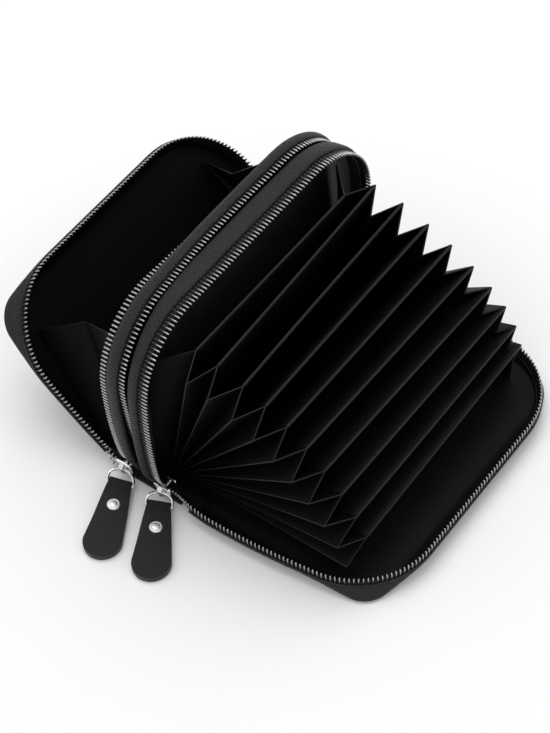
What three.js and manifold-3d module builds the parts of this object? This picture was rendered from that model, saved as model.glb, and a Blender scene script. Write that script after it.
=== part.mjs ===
// Zip card wallet, standing open on its spine: +Z up, +Y along the spine to the far end, +X to the front cover.
// Millimetres. The covers are drawn shut and then turned open to the photographed pose.
import * as THREE from "three";
import { mergeVertices } from "three/addons/utils/BufferGeometryUtils.js";
import Module from "manifold-3d";

const wasm = await Module();
wasm.setup();

// Overall outlines: length along the spine, height, corner radius, and the radius of the bowed short sides
const HOOP_LENGTH = 119.2;
const HOOP_HEIGHT = 76.5;
const HOOP_CORNER = 26;
const HOOP_BOW = 190;
const COVER_LENGTH = 115.5;
const COVER_HEIGHT = 75.5;
const COVER_CORNER = 27;
const COVER_BOW = 260;

// Thicknesses
const LEATHER = 1.2;
const BOARD = 0.8;
const LINING = 0.6;
const TAPE = 0.45;
const LEAF = 0.5;
const PLEAT = 0.4;
const SEAT = 0.1;

// Zip: distance of each zip plane from the middle, and the half chain on each side of it
const ZIP_PLANE = 9.3;
const CHAIN_GAP = 0.75;
const CHAIN_WIDTH = 2.15;
const CHAIN_INSET = 0.4;
const CHAIN_THICK = 2.0;
const TAPE_WIDTH = 3.5;
const TAPE_SHOWN = 0.4;

// Hoops: the slot between them and the width of the rear band
const SLOT_REAR = -0.65;
const SLOT_FRONT = 1.6;
const HOOP_FOOT = 2.9;
const SLOT_LINING = 0.4;
const SLOT_CHAIN_FOOT = 16;

// Covers: depth from zip plane to outer face, hinge lines and how far they stand open
const COVER_DEPTH = 9.2;
const FRONT_HINGE_Z = 0;
const FRONT_OPEN = 90;
const FRONT_FOOT = 0.4;
const FRONT_WALL_FOOT = 6;
const FRONT_CHAIN_FOOT = 11;
const REAR_HINGE_X = -1;
const REAR_HINGE_Z = 4.5;
const REAR_OPEN = 44.5;
const REAR_CLEAR = 0.45;
const REAR_CHAIN_RISE = 2;

// Spine
const SPINE_HALF = 51;
const SPINE_REAR = -9;
const SPINE_FRONT = 17;
const BASE_HALF = 46;

// Accordion: ten leaves, their roots on the spine, the angle each leans from upright, and the pleats at the ends
const LEAVES = 10;
const LEAF_ROOT_X = 3.2;
const LEAF_ROOT_Z = 3;
const LEAF_PITCH = 1.15;
const LEAF_WIDTH = 68.5;
const LEAF_FOOT = 2.5;
const LEAF_CHAMFER = 5.2;
const LEAF_NEAR = -42.8;
const LEAF_FAR = 45.5;
const FIRST_LEAN = 12.5;
const LAST_LEAN = 73.5;
const NEAR_FOLD = 10.3;
const NEAR_FOLD_FOOT = 4.5;
const FAR_FOLD = 7.75;
const FOLD_DROP = 2.3;

// Pulls: slider, ring and tab
const SLIDER_HEIGHT = 6;
const SLIDER_LENGTH = 9;
const SLIDER_WIDTH = 7.6;
const SLIDER_TAIL = 5.4;
const SLIDER_PLATE = 1;
const SLIDER_LIFT = 0.35;
const SLIDER_INNER = -3.7;
const SLIDER_INNER_PLATE = 0.7;
const SLIDER_INNER_WIDTH = 5;
const NECK_WIDTH = 1.1;
const BRIDGE_LENGTH = 5.8;
const BRIDGE_WIDTH = 1.9;
const BRIDGE_BAR = 1;
const BRIDGE_HOLE = 3.1;
const WIRE = 1.1;
const RING_WIDTH = 9.6;
const RING_LENGTH = 6.2;
const REAR_PULL_TURN = 24.5;
const FRONT_PULL_TURN = 28;
const TAB_LENGTH = 28.8;
const TAB_TOP_WIDTH = 7.8;
const TAB_WIDTH = 12.2;
const TAB_THICK = 2.2;
const TAB_EYE = 1.7;
const EYE_CLEAR = 0.3;
const RIVET_AT = 9;
const RIVET_CAP = 4.5;
const RIVET_POST = 2;
const RIVET_RISE = 0.8;

const rad = THREE.MathUtils.degToRad;
const FRONT_HINGE_X = ZIP_PLANE + COVER_DEPTH;
// The rear cover ends where its lower outer edge clears the table
const REAR_FOOT = REAR_HINGE_Z + (REAR_CLEAR - REAR_HINGE_Z
  + (FRONT_HINGE_X + REAR_HINGE_X) * Math.sin(rad(REAR_OPEN))) / Math.cos(rad(REAR_OPEN));
const REAR_CHAIN_FOOT = REAR_FOOT + REAR_CHAIN_RISE;
// Leather starts this far from the zip plane; linings lie inside the zip tape
const EDGE = CHAIN_GAP + CHAIN_WIDTH + SEAT + TAPE_SHOWN;
const TAPE_INSET = LEATHER + SEAT;
const LINING_INSET = TAPE_INSET + TAPE + 0.15;
const hoop = { half: HOOP_LENGTH / 2, top: HOOP_HEIGHT, corner: HOOP_CORNER, bow: HOOP_BOW };
const cover = { half: COVER_LENGTH / 2, top: COVER_HEIGHT, corner: COVER_CORNER, bow: COVER_BOW };

const LOOKS = {
  leather: { color: 0x2b2a2a, roughness: 0.55, metalness: 0 },
  lining: { color: 0x141412, roughness: 0.7, metalness: 0 },
  board: { color: 0x6b665e, roughness: 0.9, metalness: 0 },
  tape: { color: 0x0d0d0d, roughness: 0.85, metalness: 0 },
  teeth: { color: 0x8a8a88, roughness: 0.35, metalness: 1 },
  nickel: { color: 0xd2d2ce, roughness: 0.25, metalness: 1 },
};

const wallet = new THREE.Group();
wallet.name = "zip_card_wallet";

function add(name, look, geometry) {
  const mesh = new THREE.Mesh(geometry, new THREE.MeshStandardMaterial(LOOKS[look]));
  mesh.name = name;
  wallet.add(mesh);
}

// Welded copy with positions only
function weld(geometry) {
  const bare = geometry.clone();
  bare.deleteAttribute("normal");
  bare.deleteAttribute("uv");
  return mergeVertices(bare, 1e-4);
}

function solid(geometry) {
  const welded = weld(geometry);
  return new wasm.Manifold(new wasm.Mesh({
    numProp: 3,
    vertProperties: new Float32Array(welded.attributes.position.array),
    triVerts: new Uint32Array(welded.index.array),
  }));
}

function surface(manifold) {
  const mesh = manifold.getMesh();
  const geometry = new THREE.BufferGeometry();
  geometry.setAttribute("position", new THREE.BufferAttribute(new Float32Array(mesh.vertProperties), 3));
  geometry.setIndex(new THREE.BufferAttribute(new Uint32Array(mesh.triVerts), 1));
  geometry.computeVertexNormals();
  return geometry;
}

function union(...parts) {
  return surface(parts.map(solid).reduce((a, b) => a.add(b)));
}

function cut(part, ...tools) {
  return surface(tools.map(solid).reduce((a, b) => a.subtract(b), solid(part)));
}

// Outline of a section, seen along X as (y, z) points: up the near side, over the top, down the far side
function outline(section, inset, foot) {
  const centreZ = section.top - section.corner;
  const bow = section.bow - inset;
  const corner = section.corner - inset;
  const lean = Math.asin((centreZ - foot) / bow);
  const half = [];
  for (let i = 6; i > 0; i--) {
    const a = (lean * i) / 6;
    half.push([section.half - section.bow + bow * Math.cos(a), centreZ - bow * Math.sin(a)]);
  }
  for (let i = 0; i <= 9; i++) {
    const a = (Math.PI / 2) * (i / 9);
    half.push([section.half - section.corner + corner * Math.cos(a), centreZ + corner * Math.sin(a)]);
  }
  const near = half.map(([y, z]) => new THREE.Vector2(-y, z));
  const far = half.map(([y, z]) => new THREE.Vector2(y, z)).reverse();
  return near.concat(far);
}

// Half width between the side linings of a section, at a height
function inside(section, z) {
  const inset = LINING_INSET + LINING + 0.3;
  const centreZ = section.top - section.corner;
  const radius = z < centreZ ? section.bow : section.corner;
  return section.half - radius + Math.sqrt((radius - inset) ** 2 - (z - centreZ) ** 2);
}

// Flat (y, z) shape given thickness along X
function slab(points, x0, x1) {
  const shape = new THREE.Shape(points);
  const low = Math.min(x0, x1);
  const geometry = new THREE.ExtrudeGeometry(shape, { depth: Math.abs(x1 - x0), bevelEnabled: false });
  const toYZ = new THREE.Matrix4().makeBasis(
    new THREE.Vector3(0, 1, 0), new THREE.Vector3(0, 0, 1), new THREE.Vector3(1, 0, 0));
  return geometry.applyMatrix4(toYZ).translate(low, 0, 0);
}

function panel(section, inset, foot, x0, x1) {
  return slab(outline(section, inset, foot), x0, x1);
}

function band(section, inset, thick, foot, x0, x1) {
  const outer = outline(section, inset, foot);
  const inner = outline(section, inset + thick, foot).reverse();
  return slab(outer.concat(inner), x0, x1);
}

function box(x0, x1, y0, y1, z0, z1) {
  const geometry = new THREE.BoxGeometry(x1 - x0, y1 - y0, z1 - z0);
  return geometry.translate((x0 + x1) / 2, (y0 + y1) / 2, (z0 + z1) / 2);
}

// Turns a geometry about a line along Y; positive degrees lean it towards +X
function turned(geometry, x, z, degrees) {
  return geometry.translate(-x, 0, -z).rotateY(rad(degrees)).translate(x, 0, z);
}

// Half zip on a section: chain and tape, at distances from a zip plane; side +1 lies towards +X of the plane
function zipHalf(section, plane, side, foot, clear, width) {
  const chainBack = clear + CHAIN_WIDTH;
  const tapeFront = chainBack + SEAT;
  return {
    chain: band(section, CHAIN_INSET, CHAIN_THICK, foot, plane + side * clear, plane + side * chainBack),
    tape: band(section, TAPE_INSET, TAPE, foot, plane + side * tapeFront, plane + side * (tapeFront + width)),
  };
}

// Cover: leather tray, board, lining tray and its half of the zip
function buildCover(name, side, foot, wallFoot, chainFoot, place) {
  const at = (depth) => side * (ZIP_PLANE + depth);
  const inner = COVER_DEPTH - LEATHER;
  const boardIn = inner - SEAT - BOARD;
  const liningIn = boardIn - SEAT - LINING;
  const leather = union(
    panel(cover, 0, foot, at(inner), at(COVER_DEPTH)),
    band(cover, 0, LEATHER, wallFoot, at(EDGE), at(inner + LEATHER / 2)));
  const lining = union(
    panel(cover, LINING_INSET, wallFoot, at(liningIn), at(liningIn + LINING)),
    band(cover, LINING_INSET, LINING, wallFoot, at(EDGE), at(liningIn + LINING / 2)));
  const zip = zipHalf(cover, side * ZIP_PLANE, side, chainFoot, CHAIN_GAP, TAPE_WIDTH);
  add(`${name}_cover_leather`, "leather", place(leather));
  add(`${name}_cover_board`, "board", place(panel(cover, LINING_INSET, wallFoot, at(boardIn), at(boardIn + BOARD))));
  add(`${name}_cover_lining`, "lining", place(lining));
  add(`${name}_zip_cover_chain`, "teeth", place(zip.chain));
  add(`${name}_zip_cover_tape`, "tape", place(zip.tape));
}

// Middle section
const rearBandFront = SLOT_REAR - CHAIN_WIDTH - SEAT - TAPE_SHOWN;
add("rear_hoop_leather", "leather", band(hoop, 0, LEATHER, HOOP_FOOT, EDGE - ZIP_PLANE, rearBandFront));
add("front_hoop_leather", "leather", band(hoop, 0, LEATHER, HOOP_FOOT, SLOT_FRONT, ZIP_PLANE - EDGE));

const rearBoard = rearBandFront + SEAT - BOARD / 2;
const frontBoard = SLOT_FRONT - BOARD;
const SLOT_INSET = CHAIN_INSET + CHAIN_THICK + 0.4;
add("rear_hoop_board", "board", panel(hoop, SLOT_INSET, HOOP_FOOT, rearBoard, rearBoard + BOARD));
add("front_hoop_board", "board", panel(hoop, SLOT_INSET, HOOP_FOOT, frontBoard, frontBoard + BOARD));

function hoopLining(x, side) {
  const inner = x + side * LINING;
  return union(
    panel(hoop, LINING_INSET, HOOP_FOOT, x, inner),
    band(hoop, LINING_INSET, LINING, HOOP_FOOT, x + side * LINING / 2, side * (ZIP_PLANE - EDGE)));
}
add("rear_hoop_lining", "lining", hoopLining(rearBoard - SEAT, -1));
add("front_hoop_lining", "lining", hoopLining(frontBoard + BOARD + SEAT, 1));

const slotRear = rearBoard + BOARD + SEAT;
const slotFront = frontBoard - SEAT;
add("slot_lining", "lining", union(
  panel(hoop, SLOT_INSET, HOOP_FOOT, slotRear, slotRear + SLOT_LINING),
  panel(hoop, SLOT_INSET, HOOP_FOOT, slotFront - SLOT_LINING, slotFront),
  box(slotRear, slotFront, -SPINE_HALF, SPINE_HALF, HOOP_FOOT, HOOP_FOOT + SLOT_LINING)));

const rearZip = zipHalf(hoop, -ZIP_PLANE, 1, HOOP_FOOT, CHAIN_GAP, TAPE_WIDTH / 2);
const frontZip = zipHalf(hoop, ZIP_PLANE, -1, HOOP_FOOT, CHAIN_GAP, TAPE_WIDTH);
const slotZip = zipHalf(hoop, SLOT_REAR, -1, SLOT_CHAIN_FOOT, 0, TAPE_WIDTH / 2 - 2 * SEAT);
add("rear_zip_hoop_chain", "teeth", rearZip.chain);
add("rear_zip_hoop_tape", "tape", rearZip.tape);
add("front_zip_hoop_chain", "teeth", frontZip.chain);
add("front_zip_hoop_tape", "tape", frontZip.tape);
add("slot_zip_chain", "teeth", slotZip.chain);
add("slot_zip_tape", "tape", slotZip.tape);

// Covers
buildCover("front", 1, FRONT_FOOT, FRONT_WALL_FOOT, FRONT_CHAIN_FOOT,
  (g) => turned(g, FRONT_HINGE_X, FRONT_HINGE_Z, FRONT_OPEN));
buildCover("rear", -1, REAR_FOOT, REAR_FOOT, REAR_CHAIN_FOOT,
  (g) => turned(g, REAR_HINGE_X, REAR_HINGE_Z, -REAR_OPEN));

// Spine, with the flexible strips that join it to the covers
const boardTop = LEATHER + SEAT + BOARD;
const baseTop = boardTop + SEAT + SLOT_LINING;
add("spine_leather", "leather", box(SPINE_REAR, SPINE_FRONT, -SPINE_HALF, SPINE_HALF, 0, LEATHER));
add("spine_board", "board", box(SPINE_REAR + 0.5, SPINE_FRONT - 0.5, -SPINE_HALF + 1, SPINE_HALF - 1,
  LEATHER + SEAT, boardTop));
add("accordion_base", "lining", box(LEAF_ROOT_X - 0.5, SPINE_FRONT - 0.6, -BASE_HALF, BASE_HALF,
  boardTop + SEAT, baseTop));
add("front_hinge_leather", "leather", box(SPINE_FRONT + 0.2, FRONT_HINGE_X + FRONT_FOOT - 0.2,
  -SPINE_HALF, SPINE_HALF, 0, LEATHER));
const rearEdge = new THREE.Vector3(-FRONT_HINGE_X - REAR_HINGE_X, 0, REAR_FOOT - REAR_HINGE_Z)
  .applyAxisAngle(new THREE.Vector3(0, 1, 0), rad(-REAR_OPEN)).x + REAR_HINGE_X;
add("rear_hinge_leather", "leather", box(rearEdge + LEATHER, SPINE_REAR - 0.2, -SPINE_HALF, SPINE_HALF, 0, LEATHER));

// Accordion leaves
function lean(i) {
  return FIRST_LEAN + ((LAST_LEAN - FIRST_LEAN) * i) / (LEAVES - 1);
}

function rootX(i) {
  return LEAF_ROOT_X + LEAF_PITCH * i;
}

// Point of the fan at distance u from a root, leaning by the given degrees
function fan(x, degrees, u, y) {
  return new THREE.Vector3(x + u * Math.sin(rad(degrees)), y, LEAF_ROOT_Z + u * Math.cos(rad(degrees)));
}

// The far edge of a leaf is cut back where the far pleats close in on it
function farTrim(u) {
  return LEAF_FAR - 0.8 - (FAR_FOLD * 0.3) / (0.25 + 0.055 * u);
}

for (let i = 0; i < LEAVES; i++) {
  const points = [new THREE.Vector2(LEAF_NEAR + 2 * PLEAT, LEAF_FOOT)];
  for (const u of [LEAF_FOOT, 8, 20, 40, LEAF_WIDTH - LEAF_CHAMFER]) {
    points.push(new THREE.Vector2(farTrim(u), u));
  }
  points.push(new THREE.Vector2(farTrim(LEAF_WIDTH) - LEAF_CHAMFER, LEAF_WIDTH));
  points.push(new THREE.Vector2(LEAF_NEAR + 2 * PLEAT + LEAF_CHAMFER, LEAF_WIDTH));
  points.push(new THREE.Vector2(LEAF_NEAR + 2 * PLEAT, LEAF_WIDTH - LEAF_CHAMFER));
  const leaf = slab(points, -LEAF / 2, LEAF / 2).rotateY(rad(lean(i)));
  add(`leaf_${i}`, "lining", leaf.translate(rootX(i), 0, LEAF_ROOT_Z));
}

// Pleated strip from a list of edges, leaf edge and fold in turn, each with a foot and a top point.
// Its thickness runs along Y. Each panel is split from the foot of its leaf edge to the top of its fold.
function pleats(edges) {
  const positions = [];
  for (const [foot, top] of edges) {
    for (const p of [foot, top]) {
      positions.push(p.x, p.y, p.z, p.x, p.y + PLEAT, p.z);
    }
  }
  const index = [];
  const quad = (a, b, c, d) => index.push(a, b, c, a, c, d);
  const last = 4 * (edges.length - 1);
  for (let k = 0; k < last; k += 4) {
    if (k % 8 === 0) {
      quad(k, k + 4, k + 6, k + 2);
      quad(k + 1, k + 3, k + 7, k + 5);
    } else {
      quad(k + 4, k + 6, k + 2, k);
      quad(k + 5, k + 1, k + 3, k + 7);
    }
    quad(k + 2, k + 6, k + 7, k + 3);
    quad(k, k + 1, k + 5, k + 4);
  }
  quad(0, 2, 3, 1);
  quad(last, last + 1, last + 3, last + 2);
  const geometry = new THREE.BufferGeometry();
  geometry.setAttribute("position", new THREE.Float32BufferAttribute(positions, 3));
  geometry.setIndex(index);
  geometry.computeVertexNormals();
  return geometry;
}

// Edges of the pleats at one end: hoop wall, leaf edges with the folds between them set off along Y, cover lining
function pleatEdges(y, foldFoot, foldTop, wall, firstFold) {
  const edges = [];
  const mid = (p, q, shift) => p.clone().lerp(q, 0.5).add(new THREE.Vector3(0, shift, 0));
  for (let i = 0; i < LEAVES; i++) {
    edges.push([fan(rootX(i), lean(i), LEAF_FOOT, y), fan(rootX(i), lean(i), LEAF_WIDTH, y)]);
    const x = rootX(i) + LEAF_PITCH / 2;
    const a = lean(i) + (LAST_LEAN - FIRST_LEAN) / (LEAVES - 1) / 2;
    edges.push([fan(x, a, LEAF_FOOT, y + foldFoot), fan(x, a, LEAF_WIDTH - FOLD_DROP, y + foldTop)]);
  }
  const liningTop = LEATHER + BOARD + LINING + 2 * SEAT;
  edges.push([
    new THREE.Vector3(FRONT_HINGE_X + FRONT_WALL_FOOT, y, liningTop + 0.3),
    new THREE.Vector3(FRONT_HINGE_X + WEB_COVER_TOP, y, liningTop + 0.3)]);
  const onWall = [WEB_HOOP_FOOT, WEB_HOOP_TOP].map(([x, z]) => new THREE.Vector3(x, wall(z), z));
  const first = edges[0];
  edges.unshift([mid(onWall[0], first[0], firstFold / 2), mid(onWall[1], first[1], firstFold)]);
  edges.unshift(onWall);
  return edges;
}

const WEB_HOOP_FOOT = [2.9, 8];
const WEB_HOOP_TOP = [5, HOOP_HEIGHT - 0.75 * HOOP_CORNER];
const WEB_COVER_TOP = 58;
add("near_pleats", "lining", pleats(
  pleatEdges(LEAF_NEAR, -NEAR_FOLD_FOOT, -NEAR_FOLD, (z) => -inside(hoop, z), 0.5)));
add("far_pleats", "lining", pleats(
  pleatEdges(LEAF_FAR - PLEAT, -FAR_FOLD, -FAR_FOLD, (z) => inside(hoop, z) - PLEAT, -FAR_FOLD)));

// Gussets of the rear compartment: cover wall, fold and hoop wall, drawn shut and turned open
const GUSSET_FOOT = 17;
const GUSSET_TOP = 61;
const GUSSET_FOLD = 11;
function rearGusset(side) {
  const axis = new THREE.Vector3(0, 1, 0);
  const hinge = new THREE.Vector3(REAR_HINGE_X, 0, REAR_HINGE_Z);
  const top = (section) => Math.min(GUSSET_TOP, section.top - 0.53 * section.corner);
  const edge = (section, x, open, drop, fold) => [GUSSET_FOOT, top(section) - drop].map((z) => {
    const y = side * (inside(section, z) - PLEAT / 2 - (fold * z) / GUSSET_TOP) - PLEAT / 2;
    return new THREE.Vector3(x, y, z).sub(hinge).applyAxisAngle(axis, rad(-open)).add(hinge);
  });
  return pleats([
    edge(cover, -ZIP_PLANE - EDGE - 0.6, REAR_OPEN, 0, 0),
    edge(cover, -ZIP_PLANE, REAR_OPEN / 2, 3, GUSSET_FOLD),
    edge(hoop, -ZIP_PLANE + EDGE + 0.6, 0, 0, 0)]);
}
add("rear_near_gusset", "lining", rearGusset(-1));
add("rear_far_gusset", "lining", rearGusset(1));

// Pulls. A slider stands on the bowed near side: across along X, up the zip, and out from the leather.
const bowZ = HOOP_HEIGHT - HOOP_CORNER;
const sliderLean = Math.asin((bowZ - SLIDER_HEIGHT) / HOOP_BOW);
const sliderY = -(HOOP_LENGTH / 2 - HOOP_BOW + HOOP_BOW * Math.cos(sliderLean));
const alongZip = new THREE.Vector3(0, -Math.sin(sliderLean), Math.cos(sliderLean));
const outward = new THREE.Vector3(0, -Math.cos(sliderLean), -Math.sin(sliderLean));
const holeOut = SLIDER_LIFT + SLIDER_PLATE + BRIDGE_HOLE / 2;

function plate(width, tail, thick, from) {
  const h = SLIDER_LENGTH / 2;
  const shape = new THREE.Shape();
  shape.moveTo(-tail / 2, -h);
  shape.lineTo(tail / 2, -h);
  shape.lineTo(width / 2, h - 1.5);
  shape.quadraticCurveTo(width / 2, h, width / 2 - 1.5, h);
  shape.lineTo(-width / 2 + 1.5, h);
  shape.quadraticCurveTo(-width / 2, h, -width / 2, h - 1.5);
  const geometry = new THREE.ExtrudeGeometry(shape, { depth: thick, bevelEnabled: false, curveSegments: 4 });
  return geometry.translate(0, 0, from);
}

function bridge() {
  const half = BRIDGE_LENGTH / 2;
  const base = SLIDER_LIFT + SLIDER_PLATE;
  const rise = BRIDGE_HOLE + BRIDGE_BAR;
  const arch = (h, low, high) => {
    const shape = new THREE.Shape();
    shape.moveTo(-h, low);
    shape.lineTo(h, low);
    shape.lineTo(h, high - 1);
    shape.quadraticCurveTo(h, high, h - 1, high);
    shape.lineTo(-h + 1, high);
    shape.quadraticCurveTo(-h, high, -h, high - 1);
    return shape;
  };
  const outer = arch(half, base - SLIDER_PLATE / 2, base + rise);
  outer.holes.push(arch(half - BRIDGE_BAR, base, base + BRIDGE_HOLE));
  const geometry = new THREE.ExtrudeGeometry(outer, { depth: BRIDGE_WIDTH, bevelEnabled: false, curveSegments: 4 });
  const stand = new THREE.Matrix4().makeBasis(
    new THREE.Vector3(0, 1, 0), new THREE.Vector3(0, 0, 1), new THREE.Vector3(1, 0, 0));
  return geometry.translate(0, 0, -BRIDGE_WIDTH / 2).applyMatrix4(stand);
}

function slider(x) {
  const neck = box(-NECK_WIDTH / 2, NECK_WIDTH / 2, SLIDER_LENGTH / 2 - 2.4, SLIDER_LENGTH / 2 - 0.8,
    SLIDER_INNER - SLIDER_INNER_PLATE / 2, SLIDER_LIFT + SLIDER_PLATE / 2);
  const body = union(
    plate(SLIDER_WIDTH, SLIDER_TAIL, SLIDER_PLATE, SLIDER_LIFT),
    plate(SLIDER_INNER_WIDTH, SLIDER_INNER_WIDTH - 1, SLIDER_INNER_PLATE, SLIDER_INNER - SLIDER_INNER_PLATE),
    neck, bridge());
  const stand = new THREE.Matrix4().makeBasis(new THREE.Vector3(1, 0, 0), alongZip, outward);
  return body.applyMatrix4(stand).translate(x, sliderY, SLIDER_HEIGHT);
}

// A pull lies on the table along its ahead line; its ring and tab turn about lines along its across line
function pull(x, degrees) {
  const ahead = new THREE.Vector3(Math.sin(rad(degrees)), -Math.cos(rad(degrees)), 0);
  const across = new THREE.Vector3(Math.cos(rad(degrees)), Math.sin(rad(degrees)), 0);
  return { x, ahead, across };
}
const up = new THREE.Vector3(0, 0, 1);

function ringHole(x) {
  return new THREE.Vector3(x, sliderY, SLIDER_HEIGHT).addScaledVector(outward, holeOut);
}

function barAt(part) {
  const hole = ringHole(part.x);
  const drop = hole.z - TAB_EYE;
  const reach = Math.sqrt(RING_LENGTH * RING_LENGTH - drop * drop);
  return hole.addScaledVector(part.ahead, reach).addScaledVector(up, -drop);
}

// D-ring: a bow through the bridge and a straight bar in the eye of the tab
function ring(part) {
  const hole = ringHole(part.x);
  const ahead = barAt(part).sub(hole).normalize();
  const half = RING_WIDTH / 2;
  const place = (across, along) => hole.clone().addScaledVector(part.across, across).addScaledVector(ahead, along);
  const points = [];
  for (let i = 0; i <= 10; i++) {
    const a = Math.PI * (i / 10);
    points.push(place(half * Math.cos(a), (RING_LENGTH - 0.8) * (1 - Math.sin(a))));
  }
  for (let i = -2; i <= 2; i++) {
    points.push(place(((half - 0.8) * i) / 2, RING_LENGTH));
  }
  const path = new THREE.CatmullRomCurve3(points, true, "centripetal");
  return weld(new THREE.TubeGeometry(path, 44, WIRE / 2, 8, true));
}

// Leather tab: tapered, round-ended, folded round the bar at its top
function tab(part) {
  const shape = new THREE.Shape();
  const top = TAB_TOP_WIDTH / 2;
  const wide = TAB_WIDTH / 2;
  const end = TAB_LENGTH - wide;
  shape.moveTo(-top, 0);
  shape.lineTo(top, 0);
  shape.lineTo(wide, end);
  shape.bezierCurveTo(wide + 0.3, TAB_LENGTH - 1, wide / 2, TAB_LENGTH, 0, TAB_LENGTH);
  shape.bezierCurveTo(-wide / 2, TAB_LENGTH, -wide - 0.3, TAB_LENGTH - 1, -wide, end);
  const flat = new THREE.ExtrudeGeometry(shape, { depth: TAB_THICK, bevelEnabled: false, curveSegments: 8 });
  const across = (radius, length) => new THREE.CylinderGeometry(radius, radius, length, 16).rotateZ(Math.PI / 2);
  const eye = across(TAB_EYE, TAB_TOP_WIDTH).translate(0, 0, TAB_EYE);
  const hole = across(WIRE / 2 + EYE_CLEAR, 2 * TAB_WIDTH).translate(0, 0, TAB_EYE);
  const post = new THREE.CylinderGeometry(RIVET_POST / 2 + SEAT, RIVET_POST / 2 + SEAT, 4 * TAB_THICK, 16)
    .rotateX(Math.PI / 2).translate(0, RIVET_AT, 0);
  return lie(cut(union(flat, eye), hole, post), part);
}

function lie(geometry, part) {
  const bar = barAt(part);
  const place = new THREE.Matrix4().makeBasis(part.across, part.ahead, up.clone().negate());
  const flip = new THREE.Matrix4().makeBasis(
    new THREE.Vector3(-1, 0, 0), new THREE.Vector3(0, 1, 0), new THREE.Vector3(0, 0, -1));
  return geometry.applyMatrix4(flip).applyMatrix4(place).translate(bar.x, bar.y, 0);
}

// Rivet: domed cap on a post that ends inside the tab
function rivet(part) {
  const base = TAB_THICK + SEAT;
  const rim = RIVET_CAP / 2;
  const post = RIVET_POST / 2;
  const profile = [[0, 0.3], [post, 0.3], [post, base], [rim, base], [rim, base + RIVET_RISE * 0.4],
    [rim * 0.75, base + RIVET_RISE * 0.85], [0, base + RIVET_RISE]];
  const points = profile.map(([r, h]) => new THREE.Vector2(r, h));
  const turnedPart = new THREE.LatheGeometry(points, 20).rotateX(Math.PI / 2).translate(0, RIVET_AT, 0);
  return lie(turnedPart, part);
}

for (const [name, part] of [
  ["rear", pull(-ZIP_PLANE, REAR_PULL_TURN)], ["front", pull(ZIP_PLANE, FRONT_PULL_TURN)]]) {
  add(`${name}_slider`, "nickel", slider(part.x));
  add(`${name}_ring`, "nickel", ring(part));
  add(`${name}_tab`, "leather", tab(part));
  add(`${name}_rivet`, "nickel", rivet(part));
}

export default wallet;
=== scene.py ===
# %% [markdown]
# # A zip card wallet, standing open
# The wallet stands on its spine. A middle section of two leather hoops stays upright, the rear cover leans back,
# and the front cover lies on the table with a fan of card leaves between it and the hoops. The imported CAD model is
# loaded first, because most soft pieces made here move with one of its bodies.

# %% Load the frame
import math
import bpy
import bmesh
from mathutils import Matrix, Vector


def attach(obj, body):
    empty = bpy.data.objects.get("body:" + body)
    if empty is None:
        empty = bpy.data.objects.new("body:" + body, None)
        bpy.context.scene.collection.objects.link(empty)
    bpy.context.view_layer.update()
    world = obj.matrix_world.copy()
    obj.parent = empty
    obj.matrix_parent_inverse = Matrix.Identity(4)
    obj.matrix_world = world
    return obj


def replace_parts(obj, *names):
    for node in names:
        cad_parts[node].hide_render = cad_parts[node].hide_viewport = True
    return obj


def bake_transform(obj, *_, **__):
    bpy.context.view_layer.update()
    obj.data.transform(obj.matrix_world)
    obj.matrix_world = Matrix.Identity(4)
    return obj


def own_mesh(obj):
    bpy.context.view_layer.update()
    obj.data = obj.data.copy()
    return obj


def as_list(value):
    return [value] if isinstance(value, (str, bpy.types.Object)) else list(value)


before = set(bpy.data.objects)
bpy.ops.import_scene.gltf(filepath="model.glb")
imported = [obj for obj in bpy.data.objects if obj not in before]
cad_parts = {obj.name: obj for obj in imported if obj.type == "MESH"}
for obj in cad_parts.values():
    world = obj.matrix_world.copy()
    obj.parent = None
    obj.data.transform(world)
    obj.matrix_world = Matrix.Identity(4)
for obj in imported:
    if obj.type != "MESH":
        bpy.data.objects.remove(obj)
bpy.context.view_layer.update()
scene = bpy.context.scene
MM = 0.001

# %% [markdown]
# The sizes that the pieces share are in millimetres and follow the CAD model. Every outline is made of arcs: a long
# bow up each short side, a quarter round at each top corner, and a straight top. Leather gives, so the covers'
# outlines are eased by a millimetre or two from the hoops': each side has its own half width, bow and corner.

# %% Shared sizes
HOOP = {"near": (59.6, 190.0, 26.0), "far": (62.0, 190.0, 30.0), "top": 76.5}
REAR_RIM = {"near": (57.1, 480.0, 31.0), "far": (57.6, 260.0, 29.0), "top": 77.8}
REAR_BACK = {"near": (53.2, 480.0, 11.0), "far": (52.0, 260.0, 15.0), "top": 75.0}
FRONT_RIM = {"near": (57.75, 260.0, 29.0), "far": (57.0, 260.0, 29.0), "top": 76.4}
FRONT_BACK = {"near": (54.8, 260.0, 9.0), "far": (54.0, 260.0, 12.0), "top": 70.9}
ZIP_PLANE = 9.3
FRONT_HINGE = Vector((18.5, 0, 0))
FRONT_OPEN = 90.0
REAR_HINGE = Vector((-1.0, 0, 4.5))
REAR_OPEN = -44.5


def clamp(value):
    return min(max(value, 0.0), 1.0)


def smooth(value):
    value = clamp(value)
    return value * value * (3 - 2 * value)


print("hoop", 2 * HOOP["near"][0], "x", HOOP["top"], "mm")

# %% [markdown]
# ## Finishes
# Shader sums read best as plain sums, so a small class wraps a socket and turns + - * into Math nodes. Any other
# node comes from one method, which sets the node's options first and then its sockets.

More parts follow.
